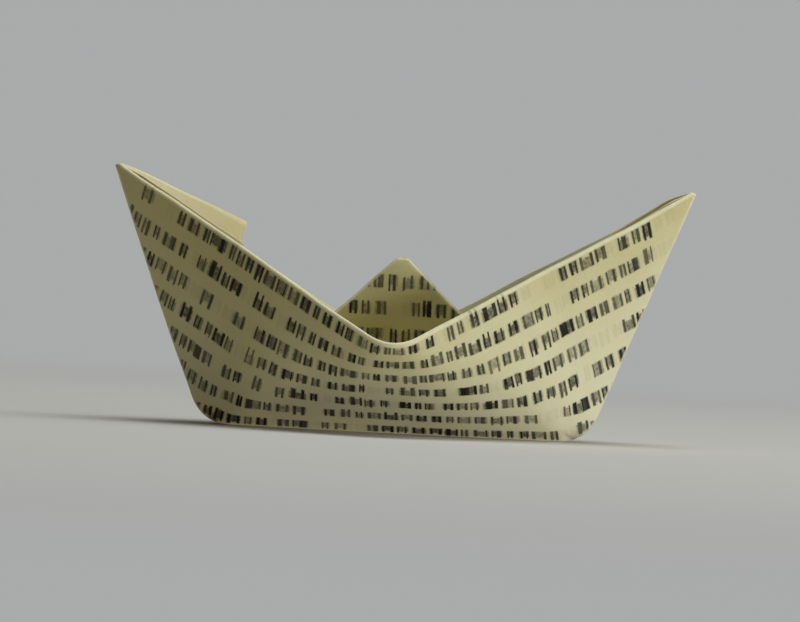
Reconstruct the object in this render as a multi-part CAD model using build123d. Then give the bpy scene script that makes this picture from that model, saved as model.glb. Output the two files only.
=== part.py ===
from build123d import *
from math import atan2, copysign, cos, radians, sin, sqrt
import os

# A toy boat folded from one old book page, standing on its two bottom folds.
# X runs from bow to bow, Y from side to side and Z up, in millimetres.
# The origin is on the ground below the mast.

# The flat page
page_width = 105.0
page_length = 148.0
paper = 0.15

# How far the folded boat is pulled open
bottom_open = 3.0
gunwale_height = 12.0
stem_rake = 69.0
mast_height = 23.5
mast_blunt = 0.7

# How the folds relax; the lowest points of both gunwales lie a little nearer one bow
gunwale_bend = 0.09
gunwale_shift = 1.3
corner_round = 4.0
hem_spring = 2.2
slit = 0.12
seam = 0.3

# End flaps of the hems: degrees off the wall that they fold against, how far below the
# tip they start, and how much higher than square the page's corner comes out
sprung_flap = 25.5
tucked_flap = 4.0
flap_start = 1.3
sprung_skew = 0.11
tucked_skew = -0.05

# How the section is carried along the boat
ruling_fan = 1.8
blunt_tip = 1.15
keel_steps = 12
corner_steps = 6
wing_steps = 4

# What the page gives once it is folded
half = page_width / 2
hem = page_length / 2 - half
wall = half / 2
stem = half / sqrt(2)
border = wall + stem
hem_stop = wall + sqrt(2) * (wall - hem)
pressed = 3

# Where the folds stand in space
keel_x = wall - bottom_open ** 2 / wall * 2 / 3
tip_x = keel_x + stem * cos(radians(stem_rake))
tip_z = stem * sin(radians(stem_rake))
gunwale_y = bottom_open + sqrt(wall ** 2 - gunwale_height ** 2)
mast_point = mast_height + mast_blunt

# Smallest widths that keep neighbouring folds apart in the narrow corners
crease = 0.3 * paper
valley = 0.8 * paper
crotch = 2.7 * paper
least_mast = 4 * paper
mast_end = wall - 2 * paper

# From the middle of a wall's paper to the middle of a flap that clears the hem in front of it
flap_clear = (pressed + 1) * paper + 2 * slit


def gunwale(k):
    # Upper fold of a side wall, on the fold line that meets the lower border at k
    share = (abs(k) / border) ** ruling_fan
    bend = gunwale_bend
    bent = share if share > bend else (share ** 2 + bend ** 2) / (2 * bend)
    drop = (1 - bent) / (1 - bend / 2)
    x = copysign(tip_x * share, k) - gunwale_shift * drop
    return Vector(x, gunwale_y * drop, tip_z - (tip_z - gunwale_height) * drop)


def low_border(k):
    # Lower border of a side wall at length k from the middle: bottom fold, corner, stem
    run = abs(k)
    out = bottom_open * max(0, 1 - (run / wall) ** 2)
    rise = (run - wall) / stem
    if run <= wall - corner_round:
        x, z = keel_x * run / wall, 0
    elif run >= wall + corner_round:
        x, z = keel_x + (tip_x - keel_x) * rise, tip_z * rise
    else:
        turn = (run - wall + corner_round) / (2 * corner_round)
        before = keel_x * (1 - corner_round / wall)
        after = keel_x + (tip_x - keel_x) * corner_round / stem
        x = (1 - turn) ** 2 * before + 2 * turn * (1 - turn) * keel_x + turn ** 2 * after
        z = turn ** 2 * tip_z * corner_round / stem
    return Vector(copysign(x, k), out, z)


def ridge(k):
    # Top fold of the mast above the lower border at k
    x = low_border(k).X
    line = mast_point * (1 - abs(x) / keel_x)
    least = low_border(k).Z + least_mast
    return Vector(x, 0, max(least, min(line, mast_height)))


def facing(along, across, way):
    # Unit normal of a panel, on the side that way points to
    face = along.cross(across).normalized()
    return face if face.dot(way) > 0 else face * -1


def wall_inside(k):
    # Normal of a side wall at k, towards the inside of the boat
    small = border / 250
    ahead = gunwale(k + small) + low_border(k + small)
    behind = gunwale(k - small) + low_border(k - small)
    down = low_border(k) - gunwale(k)
    return facing(down, ahead - behind, Vector(0, -1, 0))


def hem_reach(k):
    # Part of the wall's height that the folded-in hem covers at k
    up_stem = max(0, abs(k) - wall) / sqrt(2)
    return min(1, hem / (wall - up_stem))


def hem_and_wall(k, layers):
    # Outside of the wall at the gunwale, then round the hem and back to its root
    top = gunwale(k)
    foot = low_border(k)
    height = (foot - top).length
    down = (foot - top).normalized()
    inside = wall_inside(k)
    skin = (layers - 0.5) * paper
    gap = slit + hem_spring * max(0, 1 - (k / hem_stop) ** 2)
    clear = height - up_to(k, skin + gap + paper, valley)
    length = min(height * hem_reach(k), clear)
    root = min(crotch, length / 2)
    lift = down * (paper / 2)
    return [
        top - lift - inside * (paper / 2),
        top - lift + inside * (skin + paper + slit / 2),
        top + down * length + inside * (skin + gap + paper),
        top + down * length + inside * (skin + gap),
        top + down * root + inside * (skin + slit / 3),
    ]


def up_to(k, offset, out):
    # How far up the wall a line offset inwards from it stands that far from the middle
    foot = low_border(k)
    down = (foot - gunwale(k)).normalized()
    return (foot.Y + wall_inside(k).Y * offset - out) / down.Y


def keel_folds(k, layers):
    # Bottom fold, the valley above it and the mast's top, where the mast stands
    foot = low_border(k)
    top = ridge(k)
    skin = (layers - 0.5) * paper
    inside = wall_inside(k)
    outside = facing(top - foot, Vector(1, 0, 0), Vector(0, 1, 0))
    mitre = (inside + outside) * (skin / (1 + inside.dot(outside)))
    dip = foot + mitre
    if dip.Z > top.Z - valley:
        dip = Vector(dip.X, dip.Y, max(foot.Z + valley, top.Z - valley))
    return [
        Vector(foot.X, max(foot.Y - paper / 2, crease), foot.Z),
        Vector(foot.X, max(foot.Y + paper / 2, valley), foot.Z),
        dip,
        top + outside * skin,
    ]


def stem_folds(k, layers):
    # The same four corners where the two walls meet in the stem
    foot = low_border(k)
    down = (foot - gunwale(k)).normalized()
    inside = wall_inside(k)
    skin = (layers - 0.5) * paper
    outer = foot - down * up_to(k, -paper / 2, valley) - inside * (paper / 2)
    inner = foot - down * up_to(k, skin, valley) + inside * skin
    return [
        foot + Vector(0, crease, 0),
        outer,
        inner,
        inner + Vector(0, -valley / 2, valley / 6),
    ]


def half_section(k, layers):
    # One side of the folded sheet's section, from the hollow below to the ridge
    folds = keel_folds(k, layers) if abs(k) < mast_end else stem_folds(k, layers)
    return folds[:2] + hem_and_wall(k, layers) + folds[2:]


def hollow_top(k):
    # Inner corner of the mast's top fold, or of the stem beyond the mast
    foot = low_border(k)
    top = ridge(k)
    if abs(k) < mast_end:
        lean = max(foot.Y, crease) / (top - foot).length
        return Vector(top.X, 0, max(foot.Z + crease, top.Z - paper / 2 / lean))
    inner = stem_folds(k, 1)[2]
    return Vector(foot.X + (inner.X - foot.X) / 10, 0, foot.Z + (inner.Z - foot.Z) / 10)


def section(k):
    # Closed outline of the whole folded sheet on one fold line, near side first
    far_layers = 1 if abs(k) < seam else pressed
    near = [Vector(p.X, -p.Y, p.Z) for p in half_section(k, 1)]
    far = half_section(k, far_layers)
    return near + far[::-1] + [hollow_top(k)]


def stations():
    # Places of the sections, closer together in the seam and round the corners
    flat = wall - corner_round
    blunt = wall * mast_blunt / mast_point
    last = border - blunt_tip
    halfway = [0, seam / 2, seam, blunt]
    halfway += [flat * i / keel_steps for i in range(1, keel_steps + 1)]
    halfway += [flat + corner_round * i / corner_steps for i in range(1, corner_steps)]
    halfway += [mast_end - crease, mast_end + paper]
    halfway += [wall + corner_round * i / corner_steps for i in range(1, corner_steps + 1)]
    start = wall + corner_round
    halfway += [start + (last - start) * i / wing_steps for i in range(1, wing_steps + 1)]
    halfway.sort()
    return [-k for k in halfway[:0:-1]] + halfway


def flattened(outline, k):
    # The same outline pressed into one plane, so that it can close a tip
    foot = low_border(k)
    rise = gunwale(k) - foot
    plane = Vector(0, 1, 0).cross(Vector(rise.X, 0, rise.Z)).normalized()
    return [p - plane * (p - foot).dot(plane) for p in outline]


def facet(points):
    return Face(Wire.make_polygon(points, close=True))


def folded_sheet():
    # Flat facets from each section to the next, closed by the two tips
    places = stations()
    outlines = [section(k) for k in places]
    outlines[0] = flattened(outlines[0], places[0])
    outlines[-1] = flattened(outlines[-1], places[-1])
    facets = [facet(outlines[0]), facet(outlines[-1])]
    for here, there in zip(outlines, outlines[1:]):
        for i in range(len(here)):
            facets.append(facet([here[i - 1], here[i], there[i]]))
            facets.append(facet([here[i - 1], there[i], there[i - 1]]))
    return Solid(Shell(facets))


def leaf(points):
    # A flat piece of the paper, with these points halfway through its thickness
    thick = facing(points[1] - points[0], points[2] - points[0], Vector(0, 1, 0)) * paper
    return Solid.extrude(facet([p - thick / 2 for p in points]), thick)


def end_flap(bow, side, off_wall, skew):
    # Right-angled end of a hem. It leaves the stem in the middle plane, between the two hems,
    # then folds over to one side and stands off the wall there by off_wall degrees
    tip = Vector(bow * tip_x, 0, tip_z)
    down = (Vector(bow * keel_x, 0, 0) - tip).normalized()
    inward = Vector(bow * down.Z, 0, abs(down.X))
    inside = wall_inside(bow * (wall + stem / 2))
    wall_lean = atan2(inside.dot(inward), abs(inside.Y))
    lean = wall_lean - radians(off_wall)
    leaning = inward * cos(lean) + Vector(0, side * sin(lean), 0)
    reach = hem / sqrt(2)
    fold = flap_clear / sin(wall_lean)
    root = inward * paper
    upper = tip + down * flap_start + root
    heel = tip + down * (2 * reach) + root
    square = tip + down * ((1 - skew) * reach) + inward * reach
    share = (fold - paper) / (reach - paper)
    upper_fold = upper + (square - upper) * share
    heel_fold = heel + (square - heel) * share
    free = square + (leaning - inward) * (reach - fold)
    return leaf([upper, upper_fold, heel_fold, heel]) + leaf([upper_fold, free, heel_fold])


boat = folded_sheet()
boat = boat + end_flap(-1, 1, sprung_flap, sprung_skew)
for bow, side in [(1, 1), (-1, -1), (1, -1)]:
    boat = boat + end_flap(bow, side, tucked_flap, tucked_skew)

os.makedirs("parts", exist_ok=True)
export_step(boat, "parts/folded_sheet.step")
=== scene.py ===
import math

import bmesh
import bpy
from mathutils import Matrix, Vector, noise


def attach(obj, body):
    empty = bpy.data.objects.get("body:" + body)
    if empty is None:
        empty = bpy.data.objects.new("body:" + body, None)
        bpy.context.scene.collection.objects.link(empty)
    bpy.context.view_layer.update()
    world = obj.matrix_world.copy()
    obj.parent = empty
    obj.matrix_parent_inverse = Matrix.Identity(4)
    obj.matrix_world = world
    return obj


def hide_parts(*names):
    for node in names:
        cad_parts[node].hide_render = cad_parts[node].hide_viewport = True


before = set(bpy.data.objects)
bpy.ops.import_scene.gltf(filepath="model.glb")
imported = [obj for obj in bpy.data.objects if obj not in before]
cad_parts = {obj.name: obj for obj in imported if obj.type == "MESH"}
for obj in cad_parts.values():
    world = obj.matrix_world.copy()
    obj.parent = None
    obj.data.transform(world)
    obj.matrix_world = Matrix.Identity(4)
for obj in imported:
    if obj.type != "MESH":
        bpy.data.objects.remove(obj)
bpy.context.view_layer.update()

# The flat page, in metres, and the few sizes that say how far the boat is pulled open
page = {
    "width": 0.105,
    "length": 0.148,
    "thickness": 0.00015,
    "layerSpacing": 0.00017,
}
opening = {
    "bottomOpen": 0.003,
    "gunwaleHeight": 0.012,
    "stemRake": 69.0,
    "mastHeight": 0.0235,
    "mastBlunt": 0.0007,
    "gunwaleBend": 0.09,
    "gunwaleShift": 0.0013,
    "cornerRound": 0.004,
    "rulingFan": 1.8,
    "tipCut": 0.0005,
}
mm = 1000  # Millimetres in a metre; print and wear are set out in millimetres

half = page["width"] / 2
hem = page["length"] / 2 - half
wall = half / 2
stem = half / math.sqrt(2)
border = wall + stem
hemStop = wall + math.sqrt(2) * (wall - hem)
keelX = wall - opening["bottomOpen"] ** 2 / wall * 2 / 3
tipX = keelX + stem * math.cos(math.radians(opening["stemRake"]))
tipZ = stem * math.sin(math.radians(opening["stemRake"]))
gunwaleY = opening["bottomOpen"] + math.sqrt(wall**2 - opening["gunwaleHeight"] ** 2)
mastPoint = opening["mastHeight"] + opening["mastBlunt"]


def smoothStep(value):
    value = min(1.0, max(0.0, value))
    return value * value * (3 - 2 * value)


# Fold lines in space. k is the length along a wall's lower border from its middle
def gunwale(k):
    share = (abs(k) / border) ** opening["rulingFan"]
    bend = opening["gunwaleBend"]
    bent = share if share > bend else (share**2 + bend**2) / (2 * bend)
    drop = (1 - bent) / (1 - bend / 2)
    height = tipZ - (tipZ - opening["gunwaleHeight"]) * drop
    x = math.copysign(tipX * share, k) - opening["gunwaleShift"] * drop
    return Vector((x, gunwaleY * drop, height))


def lowBorder(k):
    run = abs(k)
    corner = opening["cornerRound"]
    out = opening["bottomOpen"] * max(0, 1 - (run / wall) ** 2)
    rise = (run - wall) / stem
    if run <= wall - corner:
        x, z = keelX * run / wall, 0
    elif run >= wall + corner:
        x, z = keelX + (tipX - keelX) * rise, tipZ * rise
    else:
        turn = (run - wall + corner) / (2 * corner)
        before = keelX * (1 - corner / wall)
        after = keelX + (tipX - keelX) * corner / stem
        x = (1 - turn) ** 2 * before + 2 * turn * (1 - turn) * keelX + turn**2 * after
        z = turn**2 * tipZ * corner / stem
    return Vector((math.copysign(x, k), out, z))


def ridge(k):
    foot = lowBorder(k)
    line = mastPoint * (1 - abs(foot.x) / keelX)
    return Vector((foot.x, 0, max(foot.z, min(line, opening["mastHeight"]))))


def wallInside(k):
    small = border / 250
    ahead = gunwale(k + small) + lowBorder(k + small)
    behind = gunwale(k - small) + lowBorder(k - small)
    face = (lowBorder(k) - gunwale(k)).cross(ahead - behind).normalized()
    return face if face.y < 0 else -face


def mastOutside(k):
    rise = ridge(k) - lowBorder(k)
    return Vector((0, rise.z, -rise.y)).normalized()


# The same lines on the flat page
def flatGunwale(k):
    share = (abs(k) / border) ** opening["rulingFan"]
    return Vector((math.copysign(half * share, k), half))


def flatBorder(k):
    upStem = max(0, abs(k) - wall) / math.sqrt(2)
    along = min(abs(k), wall) + upStem
    return Vector((math.copysign(along, k), wall + upStem))


# Columns of the sheet's mesh run along k and meet the corners of the bottom exactly, and its
# rows crowd towards the gunwale and the mast's top
grid = {
    "columns": 90,
    "keelColumns": 36,
    "wallRows": 28,
    "mastRows": 22,
    "flapRows": 14,
    "wallCrowd": 2.3,
    "mastCrowd": 2.0,
}


def columnK(index):
    side = math.copysign(1, index)
    index = abs(index)
    if index <= grid["keelColumns"]:
        return side * wall * index / grid["keelColumns"]
    share = (index - grid["keelColumns"]) / (grid["columns"] - grid["keelColumns"])
    return side * (wall + (border - opening["tipCut"] - wall) * share)


def downWall(down):
    return down ** grid["wallCrowd"]


def upMast(up):
    return 1 - (1 - up) ** grid["mastCrowd"]


class Sheet:
    # One page as a mesh, whose UV map is the flat page itself
    def __init__(self):
        self.mesh = bmesh.new()
        self.uv = self.mesh.loops.layers.uv.new("page")

    def panel(self, first, last, rows, place):
        count = last - first
        made = bmesh.ops.create_grid(self.mesh, x_segments=count, y_segments=rows, size=1)
        flat = {}
        for corner in made["verts"]:
            column = round((corner.co.x + 1) / 2 * count) + first
            down = (corner.co.y + 1) / 2
            corner.co, spot = place(column, down)
            flat[corner] = (spot.x / page["width"] + 0.5, spot.y / page["length"] + 0.5)
        for face in {face for corner in made["verts"] for face in corner.link_faces}:
            for loop in face.loops:
                loop[self.uv].uv = flat[loop.vert]

    def wallPanel(self, place, first=-grid["columns"], last=grid["columns"]):
        self.panel(first, last, grid["wallRows"], place)

    def mastPanel(self, place, first=-grid["keelColumns"], last=grid["keelColumns"]):
        self.panel(first, last, grid["mastRows"], place)


def sided(point, side):
    return Vector((point.x, point.y * side, point.z))


# Folds are soft: the paper rolls over instead of meeting in a knife edge
roll = {
    "gunwale": 0.00025,
    "tip": 0.00016,
    "tipLength": 0.008,
    "ridge": 0.00060,
    "relax": 0.002,
}


def gunwaleRoll(k):
    # Radius of the upper fold, tighter towards the tips
    fromTip = smoothStep((border - abs(k)) / roll["tipLength"])
    return roll["tip"] + (roll["gunwale"] - roll["tip"]) * fromTip


def quarterRound(radius, away):
    # How far a surface has turned in at this distance from its fold
    left = max(0, radius - away)
    return radius - math.sqrt(radius**2 - left**2)


def nearWall(column, down):
    k, down = columnK(column), downWall(down)
    top, foot = gunwale(k), lowBorder(k)
    turned = quarterRound(gunwaleRoll(k), (foot - top).length * down)
    point = top.lerp(foot, down) + wallInside(k) * turned
    return sided(point, -1), flatGunwale(k).lerp(flatBorder(k), down)


def nearMast(column, up):
    k, up = columnK(column), upMast(up)
    foot, top = lowBorder(k), ridge(k)
    turned = quarterRound(roll["ridge"], (top - foot).length * (1 - up))
    point = foot.lerp(top, up) - mastOutside(k) * turned
    return sided(point, -1), Vector((k, wall + (abs(k) - wall) * up))


# Layers of the far side: the wall itself, then the pocket folded inside it, which meets
# itself in a seam in the middle
layers = {"outer": 0, "hidden": 1, "inner": 2}
layering = {
    "tuck": 0.0005,
    "seamHalf": 0.00012,
    "seamLevel": 1.5,
    "keelBlend": 0.002,
    "stemStep": 0.00012,
    "ridgeStep": 0.00028,
}


def wallTop(k, level):
    top = gunwale(k)
    if level:
        down = (lowBorder(k) - top).normalized()
        inwards = wallInside(k) * (level * page["layerSpacing"])
        top = top + down * layering["tuck"] + inwards
    return top


def wallFoot(k, level):
    foot = lowBorder(k)
    atKeel = smoothStep((wall - abs(k)) / layering["keelBlend"])
    if abs(k) < wall and level:
        inside, outside = wallInside(k), mastOutside(k)
        mitre = (inside + outside) / (1 + inside.dot(outside))
        foot = foot + mitre * (level * page["layerSpacing"] * atKeel)
    if level < layers["inner"]:
        foot = foot + Vector((0, layering["stemStep"] * (1 - atKeel), 0))
    return foot


def ridgeTop(k, level):
    top = ridge(k)
    if level < layers["inner"]:
        room = max(0, top.z - lowBorder(k).z)
        top = top - Vector((0, 0, min(layering["ridgeStep"], room / 2)))
    return top


def layerColumn(column, level, bow):
    # k and the layer's place between its neighbours, which both close up in the seam
    if level and column == 0:
        return bow * layering["seamHalf"], layering["seamLevel"]
    return columnK(column), level


def farWall(level, bow):
    def place(column, down):
        k, shown = layerColumn(column, level, bow)
        down = downWall(down)
        top, foot = wallTop(k, shown), wallFoot(k, shown)
        point = top.lerp(foot, down)
        if not level:
            turned = quarterRound(gunwaleRoll(k), (foot - top).length * down)
            point = point + wallInside(k) * turned
        spot = flatGunwale(k).lerp(flatBorder(k), down)
        return point, onPage(spot, level, bow)
    return place


def farMast(level, bow):
    def place(column, up):
        k, shown = layerColumn(column, level, bow)
        up = upMast(up)
        foot, top = wallFoot(k, shown), ridgeTop(k, level)
        below = (top - foot).length * (1 - up)
        settled = smoothStep(below / (2 * roll["ridge"]))
        atRidge = -roll["ridge"] if level == layers["inner"] else 0
        rise = shown * page["layerSpacing"] * up * settled - atRidge * (1 - settled)
        point = foot.lerp(top, up) + mastOutside(k) * rise
        spot = Vector((k, wall + (abs(k) - wall) * up))
        return point, onPage(spot, level, bow)
    return place


def onPage(spot, level, bow):
    # Where a point of the far side lies on the page, for each of its layers
    if level == layers["outer"]:
        return Vector((spot.x, -spot.y))
    return Vector((bow * spot.y, abs(spot.x) * (1 if level == layers["inner"] else -1)))


# Hems folded down inside both gunwales, sprung off the walls a little
hemLook = {
    "spring": 0.0022,
    "nearGap": 0.00027,
    "farGap": 0.00062,
    "nearRise": 0.00040,
    "farRise": 0.00075,
    "closeLength": 0.004,
}


def hemReach(k):
    upStem = max(0, abs(k) - wall) / math.sqrt(2)
    return min(1, hem / (wall - upStem))


def hemEdge(k, side):
    # Free edge of a hem, which closes onto the stem towards each bow
    gap = hemLook["nearGap"] if side < 0 else hemLook["farGap"]
    lift = hemLook["nearRise"] if side < 0 else hemLook["farRise"]
    top, foot = gunwale(k), lowBorder(k)
    sprung = gap + hemLook["spring"] * max(0, 1 - (k / hemStop) ** 2)
    free = top.lerp(foot, hemReach(k)) + wallInside(k) * sprung
    middle = Vector((top.x, 0, top.z)) - Vector((foot.x, 0, foot.z))
    onStem = Vector((foot.x, 0, foot.z)) + middle.normalized() * min(lift, middle.length / 3)
    closed = smoothStep((abs(k) - hemStop + hemLook["closeLength"]) / hemLook["closeLength"])
    return free.lerp(onStem, closed)


def hemPanel(side):
    gap = hemLook["nearGap"] if side < 0 else hemLook["farGap"]

    def place(column, down):
        k, down = columnK(column), downWall(down)
        top, edge = gunwale(k), hemEdge(k, side)
        away = (edge - top).length * down
        radius = gunwaleRoll(k)
        swell = 2 * radius - quarterRound(radius, away)
        if away > radius:
            swell = gap + (swell - gap) * math.exp((radius - away) / roll["relax"])
        point = top.lerp(edge, down) + wallInside(k) * (swell * (1 - down))
        spot = flatGunwale(k).lerp(flatBorder(k), down * hemReach(k))
        return sided(point, side), Vector((spot.x, -side * (2 * half - spot.y)))
    return place


# The hems' end triangles, hinged along the stems; angles in degrees
flapLook = {
    "curl": 2.5,
    "sprung": 20.0,
    "sprungSkew": 0.11,
    "tucked": 39.0,
    "tuckedSkew": -0.05,
    "tipRise": 0.0009,
    "riseLength": 0.018,
    "riseStart": 0.004,
}


def flapPanel(side, bow, lean, skew):
    reach = hem / math.sqrt(2)
    turn = (1 - skew) * reach
    tip = Vector((bow * tipX, 0, tipZ))
    down = (Vector((bow * keelX, 0, 0)) - tip).normalized()
    level = Vector((bow * down.z, 0, abs(down.x)))

    def place(column, out):
        k = columnK(column)
        along = border - abs(k)
        wide = along / turn if along < turn else (2 * reach - along) / (2 * reach - turn)
        wide = max(0, wide) * reach * out
        angle = math.radians(lean + flapLook["curl"] * (wide / reach) ** 2)
        leaning = level * math.cos(angle) + Vector((0, math.sin(angle), 0))
        point = sided(hemEdge(k, side), side) + leaning * wide
        if side < 0 and bow > 0:
            risen = max(0, 1 - along / flapLook["riseLength"])
            risen = risen * smoothStep(along / flapLook["riseStart"])
            point.z += flapLook["tipRise"] * risen * out
        spot = Vector((-bow * along + wide * bow, along + wide)) / math.sqrt(2)
        spot = Vector((bow * half + spot.x, half + spot.y))
        return point, Vector((spot.x, -side * spot.y))
    return place


def hingeColumn():
    # First column past the place where the hem's edge reaches the stem
    index = grid["keelColumns"]
    while columnK(index) < hemStop:
        index += 1
    return index


def foldedSheet():
    sheet = Sheet()
    sheet.wallPanel(nearWall)
    sheet.mastPanel(nearMast)
    sheet.wallPanel(farWall(layers["outer"], 1))
    sheet.mastPanel(farMast(layers["outer"], 1))
    for level in (layers["hidden"], layers["inner"]):
        for bow in (-1, 1):
            sheet.wallPanel(farWall(level, bow), *sorted((0, bow * grid["columns"])))
            sheet.mastPanel(farMast(level, bow), *sorted((0, bow * grid["keelColumns"])))
    for side in (-1, 1):
        sheet.wallPanel(hemPanel(side))
        for bow in (-1, 1):
            lean, skew = -side * flapLook["tucked"], flapLook["tuckedSkew"]
            if side < 0 and bow < 0:
                lean, skew = flapLook["sprung"], flapLook["sprungSkew"]
            first, last = sorted((bow * hingeColumn(), bow * grid["columns"]))
            sheet.panel(first, last, grid["flapRows"], flapPanel(side, bow, lean, skew))
    return sheet


# Small unevenness of a page folded by hand: slow waves and finer dimples, none at the ground
relief = {
    "seed": 2,
    "waveSize": 0.022,
    "waveDepth": 0.00045,
    "dimpleSize": 0.007,
    "dimpleDepth": 0.00010,
    "dimpleShift": (7, 3, 5),
    "settleHeight": 0.006,
}
joining = {
    "weld": 0.000003,
    "sliver": 0.000001,
    "sharpAngle": 0.6,
}


def uneven(point):
    slow = noise.noise_vector(point / relief["waveSize"])
    fine = noise.noise_vector(point / relief["dimpleSize"] + Vector(relief["dimpleShift"]))
    settle = smoothStep(point.z / relief["settleHeight"])
    return (slow * relief["waveDepth"] + fine * relief["dimpleDepth"]) * settle


def finishSheet(sheet):
    mesh = sheet.mesh
    noise.seed_set(relief["seed"])
    bmesh.ops.remove_doubles(mesh, verts=mesh.verts, dist=joining["weld"])
    bmesh.ops.dissolve_degenerate(mesh, edges=mesh.edges, dist=joining["sliver"])
    for corner in mesh.verts:
        corner.co = corner.co + uneven(corner.co) + Vector((0, 0, page["thickness"] / 2))
    bmesh.ops.recalc_face_normals(mesh, faces=mesh.faces)
    nearest = min(mesh.faces, key=lambda face: face.calc_center_median().y)
    if nearest.normal.y > 0:
        bmesh.ops.reverse_faces(mesh, faces=mesh.faces)
    for face in mesh.faces:
        face.smooth = True
    for edge in mesh.edges:
        if edge.is_manifold and edge.calc_face_angle() > joining["sharpAngle"]:
            edge.smooth = False
    data = bpy.data.meshes.new("foldedPage")
    mesh.to_mesh(data)
    mesh.free()
    piece = bpy.data.objects.new("foldedPage", data)
    bpy.context.collection.objects.link(piece)
    thick = piece.modifiers.new("paper", "SOLIDIFY")
    thick.thickness = page["thickness"]
    thick.offset = 0
    thick.material_offset = 1
    thick.use_even_offset = False
    return piece


class Field:
    # A number that varies over a surface, as a node's socket that takes sums
    def __init__(self, paint, socket):
        self.paint, self.socket = paint, socket

    def sum(self, kind, *others):
        return self.paint.math(kind, self, *others)

    def __add__(self, other):
        return self.sum("ADD", other)

    __radd__ = __add__

    def __sub__(self, other):
        return self.sum("SUBTRACT", other)

    def __rsub__(self, other):
        return self.paint.math("SUBTRACT", other, self)

    def __mul__(self, other):
        return self.sum("MULTIPLY", other)

    __rmul__ = __mul__

    def __truediv__(self, other):
        return self.sum("DIVIDE", other)

    def __rtruediv__(self, other):
        return self.paint.math("DIVIDE", other, self)

    def __abs__(self):
        return self.sum("ABSOLUTE")

    def over(self, limit):
        return self.sum("GREATER_THAN", limit)

    def under(self, limit):
        return self.sum("LESS_THAN", limit)

    def floor(self):
        return self.sum("FLOOR")

    def least(self, other):
        return self.sum("MINIMUM", other)

    def most(self, other):
        return self.sum("MAXIMUM", other)

    def clipped(self):
        return self.most(0).least(1)

    def ramp(self, low, high):
        return ((self - low) / (high - low)).clipped()

    def below(self, soft):
        # 1 under zero and 0 over it, with an edge this soft
        return self.ramp(soft, -soft)

    def above(self, soft):
        return self.ramp(-soft, soft)


class Paint:
    # The node tree of one material, or of the world
    def __init__(self, owner):
        owner.use_nodes = True
        self.owner = owner
        self.nodes, self.links = owner.node_tree.nodes, owner.node_tree.links

    def fill(self, node, values):
        # Each value is a number, a colour, or a node or socket to link
        for key, value in values.items():
            if isinstance(value, bpy.types.Node):
                value = value.outputs[0]
            value = getattr(value, "socket", value)
            if isinstance(value, bpy.types.NodeSocket):
                self.links.new(value, node.inputs[key])
            else:
                node.inputs[key].default_value = value

    def node(self, kind, settings, values):
        node = self.nodes.new(kind)
        for name, value in settings.items():
            setattr(node, name, value)
        self.fill(node, values)
        return node

    def math(self, kind, *values):
        node = self.node("ShaderNodeMath", {"operation": kind}, dict(enumerate(values)))
        return Field(self, node.outputs[0])

    def pair(self, x, y, z=0.0):
        return self.node("ShaderNodeCombineXYZ", {}, {"X": x, "Y": y, "Z": z})

    def chance(self, x, y):
        # Three random numbers that stay the same inside one cell
        settings = {"noise_dimensions": "2D"}
        node = self.node("ShaderNodeTexWhiteNoise", settings, {"Vector": self.pair(x, y)})
        parts = self.node("ShaderNodeSeparateColor", {}, {"Color": node.outputs["Color"]})
        return [Field(self, socket) for socket in parts.outputs]

    def cloud(self, where, scale, detail=3.0, rough=0.5):
        values = {"Vector": where, "Scale": scale, "Detail": detail, "Roughness": rough}
        return Field(self, self.node("ShaderNodeTexNoise", {}, values).outputs[0])

    def blend(self, amount, first, second):
        values = {0: amount, 6: first, 7: second}
        return self.node("ShaderNodeMix", {"data_type": "RGBA"}, values).outputs[2]

    def mixShaders(self, amount, first, second):
        return self.node("ShaderNodeMixShader", {}, {0: amount, 1: first, 2: second})


def tint(red, green, blue):
    return (red, green, blue, 1.0)


# Dark bars on small half-dark blocks, in rows, which stand for the page's print. Lengths are
# millimetres, heights are shares of the pitch and scales are per millimetre
rows = {
    "pitch": 105.0 / 26.84,
    "phase": 0.436,
    "block": 2.1,
    "blockHalf": 0.88,
    "blockSoft": 0.10,
    "barHalf": 0.22,
    "barOut": 0.52,
    "barSoft": 0.06,
    "bodyLow": 0.21,
    "bodyHigh": 0.71,
    "bodySoft": 0.04,
    "endSoft": 0.025,
    "tallShare": 0.10,
    "tallRise": 0.10,
    "deepShare": 0.08,
    "deepDrop": 0.12,
    "shortShare": 0.4,
    "shortBy": 0.10,
    "halfTone": 0.58,
    "darkest": 0.80,
    "wordGap": 0.12,
    "toneVary": 0.22,
    "rubbedVary": 0.16,
    "inkScale": 2.4,
    "waver": 0.12,
    "waverScale": 0.8,
    "drift": 3.2,
    "driftScale": 0.30,
}
# Bare paper round the print, and round the middle of the page, which is the mast's top
margins = {
    "left": 4.5,
    "right": 9.0,
    "head": 19.8,
    "foot": 19.0,
    "shortLine": 30,
    "shortLineShare": 0.14,
    "middle": 1.8,
    "middleSoft": 0.5,
}


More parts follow.
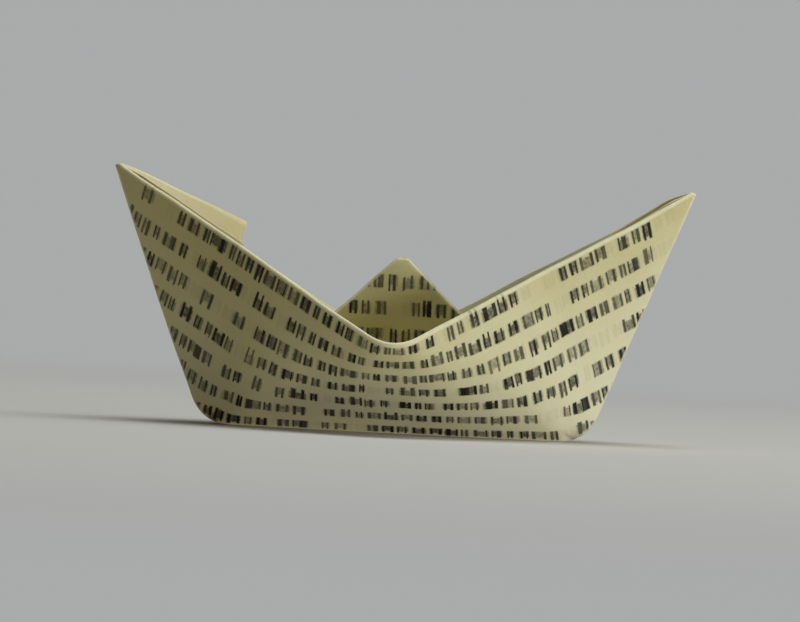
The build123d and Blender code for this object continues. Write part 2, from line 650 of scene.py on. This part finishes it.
def printRows(paint, x, y, seed):
    # x and y are millimetres from a corner of the page
    where = paint.pair(x, y, seed)
    spread = paint.cloud(where, rows["inkScale"], 3.0, 0.6) - 0.5
    waverY = paint.cloud(paint.pair(x, y, seed + 8), rows["waverScale"], 1.0) - 0.5
    line = (waverY * rows["waver"] * 2 - y) / rows["pitch"] + rows["phase"]
    row = line.floor()
    height = line - row
    shift, length, _ = paint.chance(row, seed)
    drift = paint.cloud(paint.pair(x, row * 9.0, seed + 4), rows["driftScale"], 1.0) - 0.5
    along = (x + drift * rows["drift"]) / rows["block"] + shift * 7
    cell = along.floor()
    across = (along - cell - 0.5) * rows["block"]
    width, trim, tone = paint.chance(cell, row + seed)
    gap, lean, tall = paint.chance(cell, row + seed + 31)
    # Each block, and the two bars in it, differ a little from the next in width and place
    blockHalf = rows["blockHalf"] * (0.76 + 0.30 * width) + spread * 0.1
    block = (abs(across) - blockHalf).below(rows["blockSoft"])
    bars = abs(abs(across - (lean - 0.5) * 0.2) - rows["barOut"] * (0.70 + 0.45 * width))
    barHalf = rows["barHalf"] * (0.70 + 0.60 * lean)
    bars = (bars - barHalf - spread * 0.14).below(rows["barSoft"])
    # Bars reach over the whole height of the row, and the half tone between them is shorter
    ruffle = spread * 0.06
    top = rows["bodyHigh"] + tall.over(1 - rows["tallShare"]) * rows["tallRise"] + ruffle
    foot = rows["bodyLow"] - tall.under(rows["deepShare"]) * rows["deepDrop"] - ruffle
    high = (height - top).below(rows["endSoft"]) * (height - foot).above(rows["endSoft"])
    top = rows["bodyHigh"] - trim.under(rows["shortShare"]) * rows["shortBy"] + ruffle
    foot = rows["bodyLow"] + trim.over(1 - rows["shortShare"]) * rows["shortBy"] - ruffle
    body = (height - top).below(rows["bodySoft"]) * (height - foot).above(rows["bodySoft"])
    soft = rows["halfTone"] + (tone - 0.5) * 0.4 + spread * 1.0
    soft = soft.most(0).least(rows["darkest"])
    darkness = 1 - rows["toneVary"] + rows["toneVary"] * tone
    marks = (block * body * soft).most(bars * high * darkness)
    marks = marks * gap.over(rows["wordGap"])
    blockX, rowY = x - across, (rows["phase"] - 0.5 - row) * rows["pitch"]
    lineEnd = page["width"] * mm - margins["right"]
    lineEnd = lineEnd - length.over(1 - margins["shortLineShare"]) * margins["shortLine"]
    inside = blockX.over(margins["left"]) * blockX.under(lineEnd)
    inside = inside * rowY.over(margins["head"])
    inside = inside * rowY.under(page["length"] * mm - margins["foot"])
    rubbed = paint.cloud(where, 0.35, 4.0, 0.65).ramp(0.30, 0.46)
    rubbed = 1 - rows["rubbedVary"] + rows["rubbedVary"] * rubbed
    return (marks * inside * rubbed).clipped()


# Aged paper, with a colour for painted shade and one shared by wear and painted light. The
# grain scales are per millimetre
paperLook = {
    "light": tint(0.645, 0.590, 0.335),
    "deep": tint(0.510, 0.440, 0.200),
    # Painted shade, for the mast and the left of the near wall
    "paintedShade": tint(0.480, 0.410, 0.150),
    # Worn creases, and painted light near the keel, in the hems and at the sprung corner
    "wornAndLit": tint(0.790, 0.745, 0.515),
    "edge": tint(0.430, 0.320, 0.130),
    "ink": tint(0.007, 0.006, 0.003),
    "ghost": 0.09,
    "roughness": 0.82,
    "inkGloss": 0.15,
    "shine": 0.25,
    "glow": 0.5,
    "glowDepth": 0.0003,
    "glowReach": (1.0, 0.85, 0.45),
    "bump": 0.25,
    "bumpDepth": 0.00012,
}
grain = {
    "rubbed": 0.8,
    "browned": 0.15,
    "stains": 0.045,
    "fibres": 2.2,
    "dents": 0.3,
}

# How far each place has faded or is painted, from 0 to 1, and the millimetres over which that
# ends.
# Creases and page edges are wear. The wall near the keel, the hems and the sprung corner are
# painted light; the mast, darker towards its foot, and the left of the near wall are painted
# shade
wearLightAndShade = {
    "crease": {"amount": 0.60, "from": 0.16, "to": 0.42},
    # Painted light: the wall lighter towards the keel
    "wall": {"amount": 0.85, "from": 1.0, "to": 26.0},
    # Painted light: the hems lighter just inside the gunwales, and the sprung flap lighter
    # towards its tip
    "hem": {"amount": 0.80, "from": 0.5, "to": 4.0},
    "sprungCornerLight": {"from": 3.0, "to": 22.0},
    "edge": {"amount": 0.45, "from": 0.0, "to": 4.0},
    # Painted shade: the mast darker towards its foot, and the left of the near wall darker
    # towards the left bow
    "mast": {"amount": 0.90, "from": -24.0, "to": -14.0},
    "leftWallShade": {"amount": 0.60, "from": -22.0, "to": -4.0},
}


def fade(distance, place):
    return 1 - distance.ramp(wearLightAndShade[place]["from"], wearLightAndShade[place]["to"])


def beyondKeel(x, y):
    # Millimetres out from the folds that the boat stands on, and less than 0 in the mast
    return abs(x).most(abs(y)) - wall * mm


def foldLines(x, y):
    # Distance in millimetres to the nearest fold, from the middle of the page. Where a fold
    # ends, its distance is made to grow fast
    x, y = abs(x), abs(y)
    slant, steep = 0.707, 9
    gunwales = abs(y - half * mm)
    diagonals = abs(x - y) * slant + (x.most(y) - half * mm).most(0) * steep
    seams = y + x.under(0.1) * steep
    hems = abs(x + y - 2 * half * mm) * slant + (half * mm - y).most(0) * steep
    return gunwales.least(diagonals).least(abs(beyondKeel(x, y))).least(seams).least(hems)


def pagePaint(name, seed, otherSeed):
    paint = Paint(bpy.data.materials.new(name))
    uv = paint.node("ShaderNodeUVMap", {"uv_map": "page"}, {})
    parts = paint.node("ShaderNodeSeparateXYZ", {}, {"Vector": uv})
    x = Field(paint, parts.outputs[0]) * page["width"] * mm
    y = Field(paint, parts.outputs[1]) * page["length"] * mm
    where = paint.pair(x, y, seed)

    # Where the folded boat wears and fades, and where light and shade are painted on it
    middleX, middleY = x - half * mm, y - page["length"] / 2 * mm
    fold = foldLines(middleX, middleY)
    beyond = beyondKeel(middleX, middleY)
    beyondGunwale = abs(middleY) - half * mm
    fromTip = abs(abs(middleX) - half * mm) + beyondGunwale
    rubbed = paint.cloud(where, grain["rubbed"], 3.0).ramp(0.35, 0.65)
    crease = fade(fold, "crease") * (0.70 + 0.30 * rubbed)
    # Painted shade on the left of the near wall, stronger towards the left bow
    leftWallShade = middleY.over(abs(middleX)) * beyond.over(0) * beyondGunwale.under(0)
    leftWallShade = leftWallShade * fade(middleX, "leftWallShade")
    # Painted light: the wall lighter towards the keel, half as much where the left wall is
    # shaded
    keelPaintedLight = beyond.over(0) * fade(beyond, "wall") * wearLightAndShade["wall"]["amount"]
    keelPaintedLight = keelPaintedLight * (1 - leftWallShade * 0.5)
    # Painted light: the sprung flap lighter towards its tip, and the hems lighter just inside
    # the gunwales
    sprungCornerLight = middleX.under(0) * middleY.over(0)
    hemPaintedLight = fade(beyondGunwale, "hem").most(fade(fromTip, "sprungCornerLight") * sprungCornerLight)
    hemPaintedLight = hemPaintedLight * beyondGunwale.over(0) * wearLightAndShade["hem"]["amount"]
    toEdge = x.least(page["width"] * mm - x).least(y).least(page["length"] * mm - y)
    browned = paint.cloud(where, grain["browned"], 3.0).ramp(0.25, 0.75)
    browned = fade(toEdge, "edge") * browned * wearLightAndShade["edge"]["amount"]
    # Painted shade on the mast, darker towards its foot, and on the left of the near wall
    paintedShade = 0.4 + 0.6 * beyond.ramp(wearLightAndShade["mast"]["from"], wearLightAndShade["mast"]["to"])
    paintedShade = beyond.under(0) * wearLightAndShade["mast"]["amount"] * paintedShade
    paintedShade = paintedShade.most(leftWallShade * wearLightAndShade["leftWallShade"]["amount"])

    # The paper's ground with its painted light and painted shade, then its print
    stains = paint.cloud(where, grain["stains"], 5.0, 0.6).ramp(0.35, 0.70)
    fibres = paint.cloud(where, grain["fibres"], 6.0, 0.75)
    mottle = (stains * 0.75 + (fibres - 0.5) * 0.9).clipped()
    # Worn creases together with the painted light of the wall, the hems and the sprung corner
    wornAndLit = (crease * wearLightAndShade["crease"]["amount"]).most(keelPaintedLight).most(hemPaintedLight)
    ground = paint.blend(mottle, paperLook["light"], paperLook["deep"])
    ground = paint.blend(browned, ground, paperLook["edge"])
    # Painted shade on the mast and the left of the near wall
    ground = paint.blend(paintedShade, ground, paperLook["paintedShade"])
    # Worn creases and painted light
    ground = paint.blend(wornAndLit, ground, paperLook["wornAndLit"])
    offMiddle = beyond + wall * mm - margins["middle"]
    ink = printRows(paint, x, y, seed) * (1 - crease * 0.9)
    ink = ink * offMiddle.ramp(0, margins["middleSoft"])
    ghost = printRows(paint, page["width"] * mm - x, y, otherSeed) * paperLook["ghost"]
    dents = paint.cloud(where, grain["dents"], 3.0)
    bump = paint.node("ShaderNodeBump", {}, {
        "Height": fibres + dents * 2,
        "Strength": paperLook["bump"],
        "Distance": paperLook["bumpDepth"],
    })
    paint.fill(paint.nodes["Principled BSDF"], {
        "Base Color": paint.blend((ink + ghost).clipped(), ground, paperLook["ink"]),
        "Roughness": paperLook["roughness"] - ink * paperLook["inkGloss"],
        "Normal": bump,
        "Specular IOR Level": paperLook["shine"],
        "Subsurface Weight": paperLook["glow"],
        "Subsurface Radius": paperLook["glowReach"],
        "Subsurface Scale": paperLook["glowDepth"],
    })
    return paint.owner


# Plain studio: a pale floor that runs out into a pale distance, soft lamps and the camera
floorLook = {
    "colour": tint(0.620, 0.590, 0.530),
    "roughness": 0.9,
    "distance": tint(0.400, 0.404, 0.406),
    "reach": 4.0,
    "fadeFrom": 0.09,
    "fadeTo": 0.42,
}
camera = {
    "distance": 0.90,
    "lens": 300.0,
    "azimuth": -1.4,
    "elevation": 0.6,
    "roll": 3.0,
    "aim": (0.0, 0.0, 0.0165),
    "nearest": 0.01,
    "farthest": 20,
}
lamps = {
    "key": {
        "at": (0.71, -0.71, 0.05),
        "wide": 0.60,
        "tall": 0.08,
        "power": 5.1,
        "colour": (0.92, 0.95, 1.0),
    },
    "side": {
        "at": (0.95, 0.05, 0.42),
        "wide": 0.70,
        "tall": 0.70,
        "power": 3.0,
        "colour": (0.88, 0.93, 1.0),
    },
    "top": {
        "at": (0.10, 0.00, 0.90),
        "wide": 0.60,
        "tall": 0.60,
        "power": 6.0,
        "colour": (0.91, 0.96, 1.0),
    },
}
airLight = {"colour": tint(1.0, 0.95, 0.74), "strength": 0.040}


def seenByCamera(paint):
    path = paint.node("ShaderNodeLightPath", {}, {})
    return Field(paint, path.outputs["Is Camera Ray"])


def layFloor():
    mesh = bmesh.new()
    bmesh.ops.create_circle(mesh, cap_ends=True, segments=64, radius=floorLook["reach"])
    data = bpy.data.meshes.new("floor")
    mesh.to_mesh(data)
    mesh.free()
    floor = bpy.data.objects.new("floor", data)
    bpy.context.collection.objects.link(floor)
    paint = Paint(bpy.data.materials.new("paleFloor"))
    shader = paint.nodes["Principled BSDF"]
    paint.fill(shader, {
        "Base Color": floorLook["colour"],
        "Roughness": floorLook["roughness"],
    })
    where = paint.node("ShaderNodeTexCoord", {}, {}).outputs["Object"]
    length = paint.node("ShaderNodeVectorMath", {"operation": "LENGTH"}, {"Vector": where})
    away = Field(paint, length.outputs["Value"])
    away = away.ramp(floorLook["fadeFrom"], floorLook["fadeTo"])
    faded = away * away * (3 - 2 * away) * seenByCamera(paint)
    distance = paint.node("ShaderNodeEmission", {}, {"Color": floorLook["distance"]})
    surface = paint.mixShaders(faded, shader, distance)
    paint.fill(paint.nodes["Material Output"], {"Surface": surface})
    floor.data.materials.append(paint.owner)


def hangLamp(name, look):
    light = bpy.data.lights.new(name, "AREA")
    light.shape = "RECTANGLE"
    light.size, light.size_y = look["wide"], look["tall"]
    light.energy = look["power"]
    light.color = look["colour"]
    lamp = bpy.data.objects.new(name, light)
    lamp.location = look["at"]
    toBoat = Vector(camera["aim"]) - Vector(look["at"])
    lamp.rotation_mode = "QUATERNION"
    lamp.rotation_quaternion = toBoat.to_track_quat("-Z", "Y")
    bpy.context.collection.objects.link(lamp)


def lightAir():
    paint = Paint(bpy.data.worlds.new("air"))
    light = paint.nodes["Background"]
    paint.fill(light, {"Color": airLight["colour"], "Strength": airLight["strength"]})
    distance = paint.node("ShaderNodeBackground", {}, {"Color": floorLook["distance"]})
    surface = paint.mixShaders(seenByCamera(paint), light, distance)
    paint.fill(paint.nodes["World Output"], {"Surface": surface})
    bpy.context.scene.world = paint.owner


def placeCamera():
    data = bpy.data.cameras.new("camera")
    data.lens = camera["lens"]
    data.clip_start, data.clip_end = camera["nearest"], camera["farthest"]
    eye = bpy.data.objects.new("camera", data)
    az, el = math.radians(camera["azimuth"]), math.radians(camera["elevation"])
    back = Vector((math.sin(az) * math.cos(el), -math.cos(az) * math.cos(el), math.sin(el)))
    eye.location = Vector(camera["aim"]) + back * camera["distance"]
    eye.rotation_mode = "QUATERNION"
    lean = Matrix.Rotation(math.radians(camera["roll"]), 3, "Z").to_quaternion()
    eye.rotation_quaternion = (-back).to_track_quat("-Z", "Y") @ lean
    bpy.context.collection.objects.link(eye)
    bpy.context.scene.camera = eye


placeCamera()
print("camera placed")
lightAir()
for name, look in lamps.items():
    hangLamp(name, look)
layFloor()
print("studio lit")

boat = finishSheet(foldedSheet())
print("boat folded", len(boat.data.polygons), "faces")

# Print is different on the two faces of the page, and each shows through faintly on the other
outsideSeed, insideSeed = 3.0, 11.0
boat.data.materials.append(pagePaint("pageOutside", outsideSeed, insideSeed))
boat.data.materials.append(pagePaint("pageInside", insideSeed, outsideSeed))
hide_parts("folded_sheet")
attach(boat, "root")
print("page printed and aged")

bpy.context.scene.view_settings.view_transform = "Standard"
